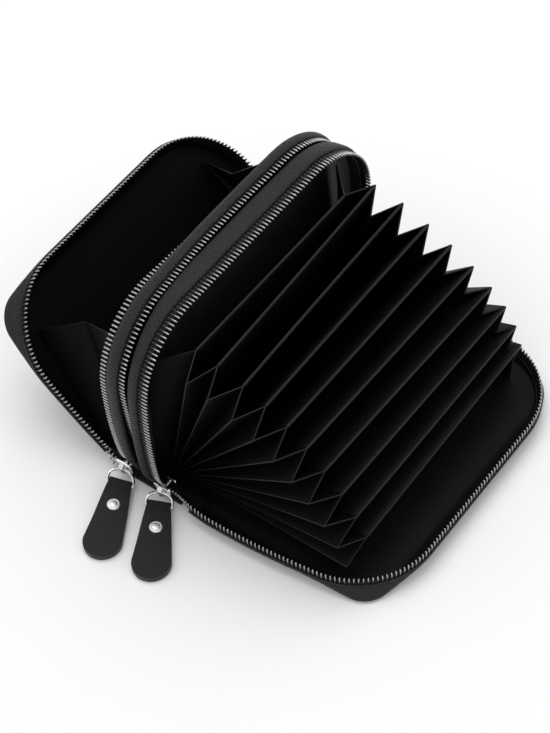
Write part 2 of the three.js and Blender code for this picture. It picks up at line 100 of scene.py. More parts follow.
# %% Shader helpers
class Value:
    def __init__(self, finish, socket):
        self.finish = finish
        self.socket = socket

    def sum(self, operation, first, second):
        return self.finish.node("ShaderNodeMath", {"operation": operation}, {0: first, 1: second})

    def __add__(self, other):
        return self.sum("ADD", self, other)

    def __radd__(self, other):
        return self.sum("ADD", other, self)

    def __sub__(self, other):
        return self.sum("SUBTRACT", self, other)

    def __rsub__(self, other):
        return self.sum("SUBTRACT", other, self)

    def __mul__(self, other):
        return self.sum("MULTIPLY", self, other)

    def __rmul__(self, other):
        return self.sum("MULTIPLY", other, self)


class Finish:
    def __init__(self, name):
        self.material = bpy.data.materials.new(name)
        self.material.use_nodes = True
        self.tree = self.material.node_tree
        self.shader = self.tree.nodes["Principled BSDF"]

    def node(self, kind, settings=None, sockets=None, out=0):
        made = self.tree.nodes.new(kind)
        for key, value in (settings or {}).items():
            setattr(made, key, value)
        for key, value in (sockets or {}).items():
            if isinstance(value, Value):
                self.tree.links.new(value.socket, made.inputs[key])
            else:
                made.inputs[key].default_value = value
        return Value(self, made.outputs[out])

    def place(self, scale=(1, 1, 1), turn=(0, 0, 0)):
        where = self.node("ShaderNodeTexCoord", out=3)
        return self.node("ShaderNodeMapping", {}, {"Vector": where, "Scale": scale, "Rotation": turn})

    def noise(self, where, scale, detail=3.0):
        return self.node("ShaderNodeTexNoise", {}, {"Vector": where, "Scale": scale, "Detail": detail})

    def wave(self, where, scale, direction, wobble):
        return self.node("ShaderNodeTexWave", {"bands_direction": direction},
                         {"Vector": where, "Scale": scale, "Distortion": wobble})

    def mix(self, factor, dark, pale):
        return self.node("ShaderNodeMix", {"data_type": "RGBA"}, {0: factor, 6: dark, 7: pale}, out=2)

    def bump(self, height, distance):
        return self.node("ShaderNodeBump", {}, {"Height": height, "Distance": distance})

    def set(self, **sockets):
        for key, value in sockets.items():
            socket = self.shader.inputs[key.replace("_", " ")]
            if isinstance(value, Value):
                self.tree.links.new(value.socket, socket)
            else:
                socket.default_value = value
        return self.material


def grey(level, warm=1.0):
    return (level * warm, level, level / warm, 1)


print("shader helpers ready")

# %% [markdown]
# The outside is black grained leather: small rounded cells with fine creases between them, a little paler on top
# of the grain. Cell texture gives the grain, and a slow noise keeps large areas from looking printed. The linings,
# leaves and pleats are one finer, almost matt leather, made in lit and shaded copies: the front cover's lining and
# the front hoop's wall are painted lighter for the light falling on them, the leaves are painted lighter for the
# soft light on their faces, and the pleats are painted darker for the shade in their folds.

# %% Grained leather
def grained_leather(name, level, cell, depth, rough, shine):
    finish = Finish(name)
    where = finish.place()
    cells = finish.node("ShaderNodeTexVoronoi", {"feature": "SMOOTH_F1"},
                        {"Vector": where, "Scale": cell, "Smoothness": 0.6})
    fine = finish.noise(where, cell * 2.2, 4.0)
    slow = finish.noise(where, 60.0)
    grain = 1.0 - cells * 1.3 + fine * 0.35
    return finish.set(
        Base_Color=finish.mix(grain * 0.5 + slow * 0.5, grey(level * 0.4), grey(level * 1.6, 1.02)),
        Roughness=rough + slow * 0.16 - grain * 0.1,
        Normal=finish.bump(grain + finish.noise(where, 350.0) * 0.25, depth),
        Specular_IOR_Level=shine)


LINING_GRAIN = {"cell": 2600.0, "depth": 0.00007}
LEAF_GRAIN = {"cell": 2900.0, "depth": 0.00006}
outer_leather = grained_leather("outer leather", level=0.009, cell=1500.0, depth=0.0004, rough=0.52, shine=0.34)
lining_leather = grained_leather("lining leather", level=0.0017, rough=0.55, shine=0.07, **LINING_GRAIN)
# The front cover's lining is a lighter copy of the lining, painted light.
front_lining_painted_light = grained_leather("front lining, painted light", level=0.0042, rough=0.53, shine=0.14, **LINING_GRAIN)
# The front hoop's wall is a still lighter copy of the lining, a painted glow.
wall_lining_painted_glow = grained_leather("hoop wall lining, painted glow", level=0.022, rough=0.52, shine=0.32, **LINING_GRAIN)
# The leaves are painted lighter for the soft light on their faces, the pleats darker for the shade in their folds.
leaf_leather_painted_light = grained_leather("leaf leather, painted light", level=0.0042, rough=0.5, shine=0.15, **LEAF_GRAIN)
pleat_leather_painted_shade = grained_leather("pleat leather, painted shade", level=0.0018, rough=0.52, shine=0.08, **LEAF_GRAIN)
print("leathers:", outer_leather.name, lining_leather.name, leaf_leather_painted_light.name)

# %% [markdown]
# The pull tabs have a fine crosshatch, pressed in along and across the tab, so two crossed waves make its bump.
# Cut and turned edges are sealed with a smooth black edge paint, which catches thin lines of light.

# %% Tab leather and edge paint
HATCH = 430.0
TAB_TURN = {"rear": math.radians(24), "front": math.radians(32)}


def crosshatch_leather(name, turn):
    finish = Finish(name)
    where = finish.place(turn=(0, 0, turn))
    weave = finish.wave(where, HATCH, "X", 0.8) * 0.5 + finish.wave(where, HATCH, "Y", 0.8) * 0.5
    slow = finish.noise(where, 300.0, 5.0)
    return finish.set(
        Base_Color=finish.mix(weave * 0.5 + slow * 0.5, grey(0.004), grey(0.014)),
        Roughness=0.66 - weave * 0.14 + slow * 0.1,
        Normal=finish.bump(weave + slow * 0.6, 0.00012),
        Specular_IOR_Level=0.35)


def sealed_edge(name, level, shine):
    finish = Finish(name)
    slow = finish.noise(finish.place(), 900.0)
    return finish.set(Base_Color=finish.mix(slow, grey(level * 0.6), grey(level * 1.4)),
                      Roughness=0.36 + slow * 0.15, Normal=finish.bump(slow, 0.00005), Specular_IOR_Level=shine)


tab_leather = {name: crosshatch_leather(f"{name} tab leather", -turn) for name, turn in TAB_TURN.items()}
tab_edge = sealed_edge("tab edge paint", level=0.005, shine=0.4)
leaf_edge = sealed_edge("leaf edge", level=0.006, shine=0.24)
print("tab finishes ready")

# %% [markdown]
# The zip tape is a tight black weave. The teeth are plated wire, all one metal: bright on the heads, with the legs
# that grip the tape painted darker and the sides that face the next tooth painted darkest, both painted shade. The
# sliders and rings are polished nickel with faint handling marks, and the rivet caps are a paler, softer nickel.

# %% Tape and metals
def woven_tape(name):
    finish = Finish(name)
    where = finish.place()
    weave = finish.wave(where, 700.0, "X", 1.0) * 0.5 + finish.wave(where, 500.0, "DIAGONAL", 1.0) * 0.5
    fuzz = finish.noise(where, 2500.0)
    return finish.set(Base_Color=finish.mix(weave * 0.7 + fuzz * 0.3, grey(0.003), grey(0.016)),
                      Roughness=0.9 - weave * 0.15, Normal=finish.bump(weave + fuzz * 0.5, 0.0001),
                      Specular_IOR_Level=0.2)


def plated(name, dark, pale, rough, mark):
    finish = Finish(name)
    cloud = finish.noise(finish.place(), 800.0, 4.0)
    scratch = finish.noise(finish.place(scale=(1, 9, 3)), 900.0, 6.0)
    return finish.set(Base_Color=finish.mix(cloud, grey(dark, 1.01), grey(pale, 1.015)), Metallic=1.0,
                      Roughness=rough + cloud * 0.1 + scratch * 0.06, Normal=finish.bump(scratch, mark))


zip_tape = woven_tape("zip tape")
tooth_head = plated("tooth head", dark=0.27, pale=0.48, rough=0.18, mark=0.00001)
# Legs and sides are darker copies of the same plating, painted shade.
tooth_leg_painted_shade = plated("tooth leg, painted shade", dark=0.09, pale=0.18, rough=0.35, mark=0.00001)
tooth_side_painted_shade = plated("tooth side, painted shade", dark=0.02, pale=0.06, rough=0.4, mark=0.00001)
nickel = plated("polished nickel", dark=0.66, pale=0.8, rough=0.12, mark=0.000008)
rivet_cap = plated("rivet cap", dark=0.84, pale=0.93, rough=0.42, mark=0.000008)
print("metals ready")

# %% [markdown]
# ## Making soft shells
# A band starts from a loop of edges: its cross-section, set down at the near foot of the outline. The section is
# then spun up the bow, spun round the corner, drawn along the straight top, and spun down the far side, which is
# how the outline itself is built. Holes are filled and the normals turned outwards at the end.

# %% Edit-mode helpers
def object_mode():
    if bpy.context.object and bpy.context.object.mode != "OBJECT":
        bpy.ops.object.mode_set(mode="OBJECT")
    bpy.ops.object.select_all(action="DESELECT")


def pick(piece):
    object_mode()
    piece.select_set(True)
    bpy.context.view_layer.objects.active = piece


def loop_of(name, points):
    object_mode()
    bpy.ops.mesh.primitive_circle_add(vertices=len(points), radius=0.01, fill_type="NOTHING")
    piece = bpy.context.object
    piece.name = piece.data.name = name
    for vertex, point in zip(piece.data.vertices, points):
        vertex.co = Vector(point) * MM
    bpy.ops.object.mode_set(mode="EDIT")
    bpy.ops.mesh.select_all(action="SELECT")
    return piece


def grow(x=0.0, y=0.0, z=0.0):
    bpy.ops.mesh.extrude_region_move(TRANSFORM_OT_translate={"value": (x * MM, y * MM, z * MM)})


def spin(steps, degrees, y, z):
    bpy.ops.mesh.spin(steps=steps, angle=math.radians(degrees), center=(0, y * MM, z * MM), axis=(1, 0, 0))


def face_out(piece, test=None):
    bpy.ops.mesh.select_all(action="SELECT")
    bpy.ops.mesh.remove_doubles(threshold=1e-6)
    bpy.ops.mesh.normals_make_consistent(inside=False)
    mesh = bmesh.from_edit_mesh(piece.data)
    if test and not test(max(mesh.faces, key=lambda face: face.calc_area())):
        bpy.ops.mesh.flip_normals()


def cap(piece):
    bpy.ops.mesh.select_all(action="DESELECT")
    bpy.ops.mesh.select_non_manifold()
    bpy.ops.mesh.fill_holes(sides=0)
    face_out(piece)


def leave(piece, angle=40):
    bpy.ops.object.mode_set(mode="OBJECT")
    bpy.ops.object.shade_smooth_by_angle(angle=math.radians(angle))
    return piece


def modify(piece, kind, **settings):
    pick(piece)
    modifier = piece.modifiers.new(kind.title(), kind)
    for key, value in settings.items():
        setattr(modifier, key, value)
    bpy.ops.object.modifier_apply(modifier=modifier.name)
    return piece


def thicken(piece, thick, offset=0, rim=0):
    return modify(piece, "SOLIDIFY", thickness=thick * MM, offset=offset, material_offset_rim=rim)


def round_edges(piece, width, segments, angle=50):
    return modify(piece, "BEVEL", width=width * MM, segments=segments, limit_method="ANGLE",
                  angle_limit=math.radians(angle))


def settle(piece, matrix):
    pick(piece)
    piece.matrix_world = matrix
    bpy.ops.object.transform_apply(location=True, rotation=True, scale=True)
    return piece


def hinge_turn(hinge, degrees):
    pivot = Matrix.Translation(hinge * MM)
    return pivot @ Matrix.Rotation(math.radians(degrees), 4, "Y") @ pivot.inverted()


def paint(piece, *materials):
    piece.data.materials.clear()
    for material in materials:
        piece.data.materials.append(material)
    return piece


def join(name, pieces):
    pick(pieces[0])
    for piece in pieces:
        piece.select_set(True)
    bpy.ops.object.join()
    joined = bpy.context.object
    joined.name = joined.data.name = name
    return joined


print("edit helpers ready")

# %% [markdown]
# The standing hoops are not perfectly flat loops: the near foot bulges out over the sliders, and along the top the
# rear hoop bows back from the front one. One small function moves any point of a hoop that way, so leather, tape
# and teeth all follow it.

# %% Bands round the hoop
FLARE_TOP = 54.0
FRONT_FLARE, REAR_FLARE = 0.095, 0.05
SLOT_EDGE, REAR_EDGE = -3.25, -5.95
BOW_STEPS, CORNER_STEPS, TOP_STEPS = 9, 14, 10


def ease(point, part):
    x, y, z = point
    relax = 1 - 0.2 * smooth((y - 10) / 40)
    back = smooth((y + 60) / 58) * relax
    flare = max(0.0, FLARE_TOP - z) * smooth((z + 2) / 15) if y < 0 else 0.0
    if part == "front":
        x -= 3.4 * smooth((y + 60) / 44) * relax * clamp((3.4 - x) / 2.2)
        y -= FRONT_FLARE * flare
    elif part == "slot":
        x += 1.0 - 2.9 * back
    elif part == "rear":
        left = clamp((SLOT_EDGE - x) / (SLOT_EDGE - REAR_EDGE))
        x += (0.75 - 2.7 * back) * (1 - left) - (1.2 + 2.0 * back) * left
        y -= REAR_FLARE * flare
    elif part == "rear teeth":
        hidden = smooth((y + 40) / 42)
        x += 1.9 * hidden - 0.4 - 1.3 * back
        y -= REAR_FLARE * flare
        z -= 0.7 * back + 0.5 * hidden
    return Vector((x, y, z))


def ease_piece(piece, part):
    for vertex in piece.data.vertices:
        vertex.co = ease(vertex.co / MM, part) * MM
    return piece


def band(name, section, foot, profile):
    half, bow, corner = section["near"]
    middle = section["top"] - corner
    angle = math.asin((middle - foot) / bow)
    reach = [(x, bow - inset) for x, inset in profile]
    start = [(x, -(half - bow + r * math.cos(angle)), middle - r * math.sin(angle)) for x, r in reach]
    piece = loop_of(name, start)
    spin(BOW_STEPS, math.degrees(angle), bow - half, middle)
    spin(CORNER_STEPS, 90, corner - half, middle)
    straight = half - corner
    half, bow, corner = section["far"]
    middle = section["top"] - corner
    for step in range(TOP_STEPS):
        grow(y=(straight + half - corner) / TOP_STEPS)
    spin(CORNER_STEPS, 90, half - corner, middle)
    spin(BOW_STEPS, math.degrees(math.asin((middle - foot) / bow)), half - bow, middle)
    cap(piece)
    return leave(piece)


rear_band = band("rear_band", HOOP, 0.5, [
    (SLOT_EDGE, 1.2), (SLOT_EDGE, 0.45), (-3.35, 0.2), (-3.65, 0.03), (-4.2, -0.12), (-4.7, -0.1),
    (-5.2, 0.1), (-5.6, 0.45), (-5.85, 0.9), (REAR_EDGE, 1.3), (-5.6, 1.5), (-4.6, 1.3)])
front_band = band("front_band", HOOP, 0.5, [
    (1.2, 3.2), (1.15, 2.2), (1.3, 1.3), (1.7, 0.65), (2.3, 0.2), (3.0, 0.0), (3.8, -0.15), (4.6, -0.12),
    (5.0, 0.03), (5.25, 0.2), (5.35, 0.5), (5.35, 1.2), (3.0, 1.4), (2.0, 2.2)])
for piece, part in ((rear_band, "rear"), (front_band, "front")):
    ease_piece(piece, part)
    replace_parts(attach(paint(piece, outer_leather), "spine"), f"{part}_hoop_leather")
    print(piece.name, len(piece.data.polygons), "faces")

# %% [markdown]
# The tape shows as a dark strip between the teeth and the leather, and runs on behind the leather.

# %% Hoop tapes
for name, x0, x1, node, part in (("rear_hoop_tape", -6.0, -4.4, "rear_zip_hoop_tape", "rear"),
                                 ("slot_tape", -2.7, -4.6, "slot_zip_tape", "slot"),
                                 ("front_hoop_tape", 7.3, 3.6, "front_zip_hoop_tape", "front")):
    piece = ease_piece(band(name, HOOP, 1.0, [(x0, 1.0), (x0, 1.5), (x1, 1.85), (x1, 1.35)]), part)
    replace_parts(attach(paint(piece, zip_tape), "spine"), node)
    print(name, len(piece.data.polygons), "faces")

# %% [markdown]
# ## Trays
# The covers and the hoops' linings are trays: a side wall, a turned edge and a panel. A tray is a grid laid round
# the outline, one row for each step of its cross-section. Its last row is filled to make the panel, and a solidify
# modifier gives the leather its thickness.

# %% Lofted trays
def stations(section, inset, foot):
    sides = []
    for half, bow, corner in (section["near"], section["far"]):
        middle = section["top"] - corner
        lowest = math.asin((middle - foot) / bow)
        side = []
        reach = bow - inset
        for k in range(12):
            angle = lowest * (1 - k / 12)
            side.append((half - bow + reach * math.cos(angle), middle - reach * math.sin(angle)))
        reach = corner - inset
        for k in range(17):
            angle = math.pi / 32 * k
            side.append((half - corner + reach * math.cos(angle), middle + reach * math.sin(angle)))
        sides.append(side)
    near = [Vector((0, -y, z)) for y, z in sides[0]]
    far = [Vector((0, y, z)) for y, z in reversed(sides[1])]
    return near + [near[-1].lerp(far[0], k / 12) for k in range(1, 12)] + far


def ring(x, inset, rim, back=None, share=0.0, foot=3.0):
    points = stations(rim, inset, foot)
    if back:
        points = [a.lerp(b, share) for a, b in zip(points, stations(back, inset, foot))]
    return [Vector((x, p.y, p.z)) for p in points]


def loft(name, rows):
    object_mode()
    across, up = len(rows[0]) - 1, len(rows) - 1
    bpy.ops.mesh.primitive_grid_add(x_subdivisions=across, y_subdivisions=up, size=1)
    piece = bpy.context.object
    piece.name = piece.data.name = name
    for vertex in piece.data.vertices:
        i, j = round((vertex.co.x + 0.5) * across), round((vertex.co.y + 0.5) * up)
        vertex.co = rows[j][i] * MM
        vertex.select = j == up
    return piece


def tray(name, rows, facing, thick):
    piece = loft(name, rows)
    last = [vertex.index for vertex in piece.data.vertices if vertex.select]
    bpy.ops.object.mode_set(mode="EDIT")
    bpy.ops.mesh.select_all(action="DESELECT")
    bpy.ops.object.mode_set(mode="OBJECT")
    for index in last:
        piece.data.vertices[index].select = True
    bpy.ops.object.mode_set(mode="EDIT")
    bpy.ops.mesh.edge_face_add()
    face_out(piece, lambda face: face.normal.x * facing > 0)
    leave(piece)
    return thicken(piece, thick, offset=-1)


OUTER_THICK, LINING_THICK = 1.0, 0.4
linings = (
    ("rear_hoop_wall",
     [(-5.9, 1.7), (-5.8, 2.1), (-4.6, 2.15), (-4.05, 2.4), (-3.8, 3.0), (-3.75, 4.5), (-3.75, 9.0)],
     -1, "rear", ("rear_hoop_lining", "rear_hoop_board")),
    ("slot_back", [(-2.7, 1.7), (-2.4, 2.3), (-2.3, 3.0), (-2.3, 9.0)], 1, "slot", ("slot_lining",)),
    ("slot_front", [(1.25, 2.6), (0.9, 3.3), (0.75, 4.2), (0.7, 9.0)], -1, "front", ()),
    ("front_hoop_wall", [(5.6, 1.7), (5.5, 2.1), (3.2, 2.15), (2.6, 2.4), (2.35, 3.0), (2.3, 4.5), (2.3, 9.0)],
     1, "front", ("front_hoop_lining", "front_hoop_board")))
for name, profile, facing, part, nodes in linings:
    piece = ease_piece(tray(name, [ring(x, inset, HOOP) for x, inset in profile], facing, LINING_THICK), part)
    # The front hoop's wall takes the lighter copy of the lining: a painted glow.
    finish = wall_lining_painted_glow if name == "front_hoop_wall" else lining_leather
    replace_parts(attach(paint(piece, finish), "spine"), *nodes)
    print(name, len(piece.data.polygons), "faces")

# %% [markdown]
# ## The covers
# Each cover is a shallow tray of grained leather round a lining tray. The zip follows a wide corner, the flat back
# is smaller with tight corners, and the wall runs from one outline to the other, so it shows only at the corners.
# Each step of a profile gives the depth behind the zip, the inset, and the share of the way from the zip's outline
# to the back's. The trays are drawn shut and then swung open on their hinges. The front cover's near side splays
# out towards the spine and tucks in a little at its end.

# %% Cover trays
# The front cover's lining is the lighter copy of the lining, painted light.
COVERS = {"rear": {"side": -1, "turn": hinge_turn(REAR_HINGE, REAR_OPEN), "foot": 16.0,
                   "rim": REAR_RIM, "back": REAR_BACK, "lining": lining_leather},
          "front": {"side": 1, "turn": hinge_turn(FRONT_HINGE, FRONT_OPEN), "foot": 2.0,
                    "rim": FRONT_RIM, "back": FRONT_BACK, "lining": front_lining_painted_light}}
SHELL = [(3.7, 1.8, 0), (3.3, 1.3, 0), (3.2, 0.9, 0), (3.35, 0.6, 0), (3.9, 0.5, 0), (4.3, 0.7, 0.03),
         (4.6, 0.5, 0.07), (5.6, 0.3, 0.32), (7.0, 0.1, 0.7), (8.1, 0.15, 0.95), (8.8, 0.7, 1), (9.1, 1.7, 1),
         (9.15, 4.5, 1)]
INSIDE = [(3.6, 2.1, 0), (3.7, 2.6, 0), (4.7, 2.8, 0.12), (5.9, 2.9, 0.42), (6.3, 3.3, 0.5), (6.45, 4.2, 0.5),
          (6.45, 6.5, 0.5)]
TAPE = [(1.7, 1.3, 0), (2.6, 1.35, 0), (4.4, 1.6, 0)]
SPLAY_TOP, TUCK_TOP = 50.0, 9.0


def cover_ring(name, depth, inset, share, foot):
    cover = COVERS[name]
    points = ring(cover["side"] * (ZIP_PLANE + depth), inset, cover["rim"], cover["back"], share, foot)
    for point in points:
        if name == "front" and point.y < 0:
            drop = max(0.0, SPLAY_TOP - point.z)
            tuck = 0.5 * smooth((TUCK_TOP - point.z) / 7)
            point.y -= 0.148 * drop * drop / (drop + 2) - tuck
    return points


for name, cover in COVERS.items():
    def rows(profile):
        return [cover_ring(name, depth, inset, share, cover["foot"]) for depth, inset, share in profile]

    shell = tray(f"{name}_shell", rows(SHELL), cover["side"], OUTER_THICK)
    inside = tray(f"{name}_cover_inside", rows(INSIDE), -cover["side"], LINING_THICK)
    strip_tape = thicken(loft(f"{name}_cover_tape", rows(TAPE)), LINING_THICK)
    for piece, finish, slot, nodes in (
            (shell, outer_leather, "leather", (f"{name}_cover_leather",)),
            (inside, cover["lining"], "lining", (f"{name}_cover_lining", f"{name}_cover_board")),
            (strip_tape, zip_tape, "tape", (f"{name}_zip_cover_tape",))):
        settle(piece, cover["turn"])
        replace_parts(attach(paint(piece, finish), f"{name}_cover"), *nodes)
        print(piece.name, len(piece.data.polygons), "faces")

# %% [markdown]
# ## Zips
# One tooth is modelled: an eight-sided ring is drawn out in steps and resized at each, into thin legs, a shoulder
# and a fuller head with a round nose. It is then copied along each row.

# %% One tooth
LEG_END = -2.25


def make_tooth():
    steps = [(-3.7, 0.2, 0.26), (-2.45, 0.25, 0.3), (-2.2, 0.32, 0.44),
             (-0.5, 0.34, 0.5), (-0.14, 0.26, 0.4), (-0.02, 0.13, 0.22)]
    angles = [math.radians(22.5 + 45 * k) for k in range(8)]
    x0, w0, h0 = steps[0]
    piece = loop_of("tooth", [(x0, w0 * math.cos(a), h0 * math.sin(a)) for a in angles])
    for (xa, wa, ha), (xb, wb, hb) in zip(steps, steps[1:]):
        grow(x=xb - xa)
        bpy.ops.transform.resize(value=(1, wb / wa, hb / ha), center_override=(xb * MM, 0, 0))
    cap(piece)
    leave(piece, 60)
    paint(piece, tooth_head, tooth_leg_painted_shade, tooth_side_painted_shade)
    # Legs and the sides facing the next tooth take the darker copies of the plating: painted shade.
    for face in piece.data.polygons:
        leg = face.center.x < LEG_END * MM
        face.material_index = 2 if abs(face.normal.y) > 0.9 else 1 if leg else 0
    return piece


tooth = make_tooth()
print("tooth:", len(tooth.data.polygons), "faces")

# %% [markdown]
# A row's path is a list of points with the way the teeth point at each. Teeth sit at an even pitch along it.

# %% Rows of teeth
PITCH = 1.5
TOOTH_INSET = 1.15
SLOT_PLANE = -0.65


def along(path, pitch):
    placed, left = [], pitch / 2
    for (a, tip_a), (b, tip_b) in zip(path, path[1:]):
        length = (b - a).length
        while left <= length:
            placed.append((a.lerp(b, left / length), (b - a).normalized(), tip_a.lerp(tip_b, left / length)))
            left += pitch
        left -= length
    return placed


def set_down(point, x_way, y_way):
    axes = Matrix((x_way, y_way, x_way.cross(y_way))).transposed().to_4x4()
    return Matrix.Translation(point * MM) @ axes


def tooth_row(name, path):
    copies = []
    for point, ahead, tip in along(path, PITCH):
        tip = (tip - ahead * tip.dot(ahead)).normalized()
        copy = tooth.copy()
        copy.data = tooth.data.copy()
        scene.collection.objects.link(copy)
        copy.matrix_world = set_down(point, tip, ahead)
        copies.append(copy)
    row = join(name, copies)
    return settle(row, row.matrix_world.copy())


hoop_rows = (("rear_hoop_teeth", -ZIP_PLANE, -1, 6.0, "rear teeth", "rear_zip_hoop_chain"),
             ("slot_teeth", SLOT_PLANE, 1, 16.0, "slot", "slot_zip_chain"),
             ("front_hoop_teeth", ZIP_PLANE, 1, 6.0, "front", "front_zip_hoop_chain"))
for name, plane, way, foot, part, node in hoop_rows:
    line = ring(plane, TOOTH_INSET, HOOP, foot=foot)
    row = tooth_row(name, [(ease(point, part), Vector((way, 0, 0))) for point in line])
    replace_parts(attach(row, "spine"), node)
    print(name, len(row.data.polygons), "faces")

# %% [markdown]
# On the covers the rows leave the sliders, bend across to the cover's rim and run round it, and come back to the
# spine at the far end. The bends belong to neither body, so they are separate rows.

# %% Cover rows
def bend_path(start, start_way, start_tip, end, end_way, end_tip):
    points = []
    for k in range(41):
        t = k / 40
        point = ((2 * t**3 - 3 * t**2 + 1) * start + (t**3 - 2 * t**2 + t) * start_way
                 + (3 * t**2 - 2 * t**3) * end + (t**3 - t**2) * end_way)
        points.append((point, start_tip.lerp(end_tip, smooth(t)).normalized()))
    return points


SLIDER = {"rear": Vector((-8.4, -55.7, 5.1)), "front": Vector((8.0, -55.9, 5.1))}
bends = {}
for name, cover in COVERS.items():
    side, turn = cover["side"], cover["turn"]
    tip = turn.to_3x3() @ Vector((-side, 0, 0))
    line = cover_ring(name, 0, TOOTH_INSET, 0, cover["foot"] + 2)
    path = [((turn @ (point * MM)) / MM, tip) for point in line]
    row = tooth_row(f"{name}_cover_teeth", path)
    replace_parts(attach(row, f"{name}_cover"), f"{name}_zip_cover_chain")
    print(row.name, len(row.data.polygons), "faces")
    for end, first, second, y in (("near", path[0], path[1], -56.2), ("far", path[-1], path[-2], 55.0)):
        start = Vector((SLIDER[name].x + side * 1.6, y, 6.4))
        span = (first[0] - start).length
        bend = bend_path(start, Vector((side, 0, 0)) * span, Vector((-side, 0, 0.3)), first[0],
                         (first[0] - second[0]).normalized() * -span, tip)
        bends[name, end] = bend
        row = tooth_row(f"{name}_{end}_bend_teeth", bend if end == "near" else bend[::-1])
        first[0] * MM
        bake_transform(row)
        print(row.name, len(row.data.polygons), "faces")
bpy.data.objects.remove(tooth)

# %% [markdown]
# Between a bend of teeth and the spine the leather gathers into a small corner. It is a patch stretched from the
# tape of the bend down to the edge of the spine.

# %% Corner patches
TAPE_BACK, SPINE_EDGE, PUFF = 1.9, 50.5, 1.3
for (name, end), bend in bends.items():
    side = COVERS[name]["side"]
    out = -1 if end == "near" else 1
    rows = []
    for t in (0.0, 0.2, 0.45, 0.7, 0.9, 1.0):
        row = []
        for point, tip in bend[::4]:
            top = point - tip * TAPE_BACK
            low = Vector((top.x - side * 0.5, out * SPINE_EDGE, 0.5))
            puff = Vector((0, out * PUFF * math.sin(math.pi * t), 0))
            row.append(top.lerp(low, t) + puff)
        rows.append(row)
    patch = thicken(loft(f"{name}_{end}_corner", rows), 0.8)
    bpy.ops.object.shade_smooth()
    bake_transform(paint(patch, outer_leather), "spine", f"{name}_cover", bend[0][0] * MM, bend[-1][0] * MM)
print("corner patches:", len(bends))

# %% [markdown]
# ## The card fan
# Ten thin leaves fan out from the spine. Each is a grid pulled to the leaf's outline, twisted and bowed a little as
# a held sheet is, then given thickness and a rounded edge. The far ends spread a little differently from the near
# ones, so each leaf has a lean at both ends.

# %% Leaves
LEAVES = 10
LEAF_WIDTH = 68.5
LEAF_NEAR = -42.8
SEAM = 2.2
FAN_X, FAN_Z, FAN_STEP = 3.2, 3.0, 1.15
LEAF_THICK, LEAF_ROUND = 1.0, 0.36
NEAR_LEAN = [12.5, 18.6, 26.0, 32.8, 39.6, 46.4, 53.4, 61.0, 68.6, 75.6]
FAR_LEAN = [13.0, 16.4, 24.4, 32.5, 40.1, 47.9, 55.3, 61.9, 68.2, 73.5]
FAR_EDGE = [34.0, 44.1, 45.0, 45.3, 46.0, 46.9, 47.7, 48.2, 48.0, 46.4]


def fan(i, degrees, u, y):
    a = math.radians(degrees)
    return Vector((FAN_X + FAN_STEP * i + u * math.sin(a), y, FAN_Z + u * math.cos(a)))


def leaf_normal(i):
    a = math.radians(NEAR_LEAN[i])
    return Vector((math.cos(a), 0, -math.sin(a)))


def sheet_of(name, across, up, place, thick, edge):
    rows = [[place(s / across, t / up) for s in range(across + 1)] for t in range(up + 1)]
    # Sheets start in the leaves' lighter copy, painted light.
    piece = paint(loft(name, rows), leaf_leather_painted_light, leaf_edge)
    round_edges(thicken(piece, thick, rim=1), edge, segments=2, angle=60)
    bpy.ops.object.shade_smooth_by_angle(angle=math.radians(50))
    return piece


def declare_sheet(piece, foot, top, long, pieces=()):
    max(foot, top) * MM
    long * MM
    (foot + top) / 2 * long * MM * MM
    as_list(pieces)


leaves = []
for i in range(LEAVES):
    def place(s, t):
        u = SEAM + (LEAF_WIDTH - SEAM) * t
        y = LEAF_NEAR + (FAR_EDGE[i] - LEAF_NEAR) * s
        bow = 0.5 * math.sin(math.pi * s) * math.sin(math.pi * t * 0.9) * math.sin(1.7 * i + 0.6)
        return fan(i, NEAR_LEAN[i] + (FAR_LEAN[i] - NEAR_LEAN[i]) * s, u, y) + leaf_normal(i) * bow

    leaves.append(sheet_of(f"card_leaf_{i}", 26, 20, place, LEAF_THICK, LEAF_ROUND))
print("leaves:", LEAVES, "faces each:", len(leaves[0].data.polygons))

# %% [markdown]
# At both ends the leaves are joined by pleats. Near the pulls the folds point out, at the far end they point in.
# Every leaf carries the half pleats on its two sides. The soft far tip of each leaf and of its far half pleats is
# cut off here by a bisect and carried by the leaf as a piece of its own.

# %% Pleats
FAR_FOLD_LEAN = [13.0, 20.6, 28.8, 36.8, 44.3, 51.7, 59.5, 66.6, 73.1, 76.8]
FAR_FOLD_EDGE = [34.0, 34.7, 35.4, 36.4, 37.9, 39.2, 40.4, 41.5, 42.5, 42.0]
FOLD_WIDTH = LEAF_WIDTH - 4.5
HALF_STEP = 61.0 / 18
NEAR_FOLD_FOOT, NEAR_FOLD_REACH = 4.5, 5.8
PLEAT_THICK, PLEAT_ROUND = 0.5, 0.2
LEAF_TIP, PLEAT_TIP = 7.0, 3.2
LEAF_CUT, LEAF_LONG, FIRST_LEAF_LONG = 66.3, 88.0, 76.8


def leaf_edge_point(i, end, t):
    u = SEAM + (LEAF_WIDTH - SEAM) * t
    return fan(i, NEAR_LEAN[i], u, LEAF_NEAR) if end == "near" else fan(i, FAR_LEAN[i], u, FAR_EDGE[i])


def fold_point(i, end, t):
    u = SEAM + FOLD_WIDTH * t
    if end == "near":
        return fan(i + 0.5, NEAR_LEAN[i] + HALF_STEP, u, LEAF_NEAR - NEAR_FOLD_FOOT - NEAR_FOLD_REACH * t)
    return fan(i + 0.5, FAR_FOLD_LEAN[i], u, FAR_FOLD_EDGE[i])


def flap(name, edge, crease, out):
    def place(s, t):
        sag = 0.3 * math.sin(math.pi * s) * math.sin(math.pi * t)
        return edge(t).lerp(crease(t), s) + Vector((0, out * sag, 0))

    piece = sheet_of(name, 6, 14, place, PLEAT_THICK, PLEAT_ROUND)
    # Pleats take the darker copy: painted shade in the folds.
    piece.data.materials[0] = pleat_leather_painted_shade
    return piece


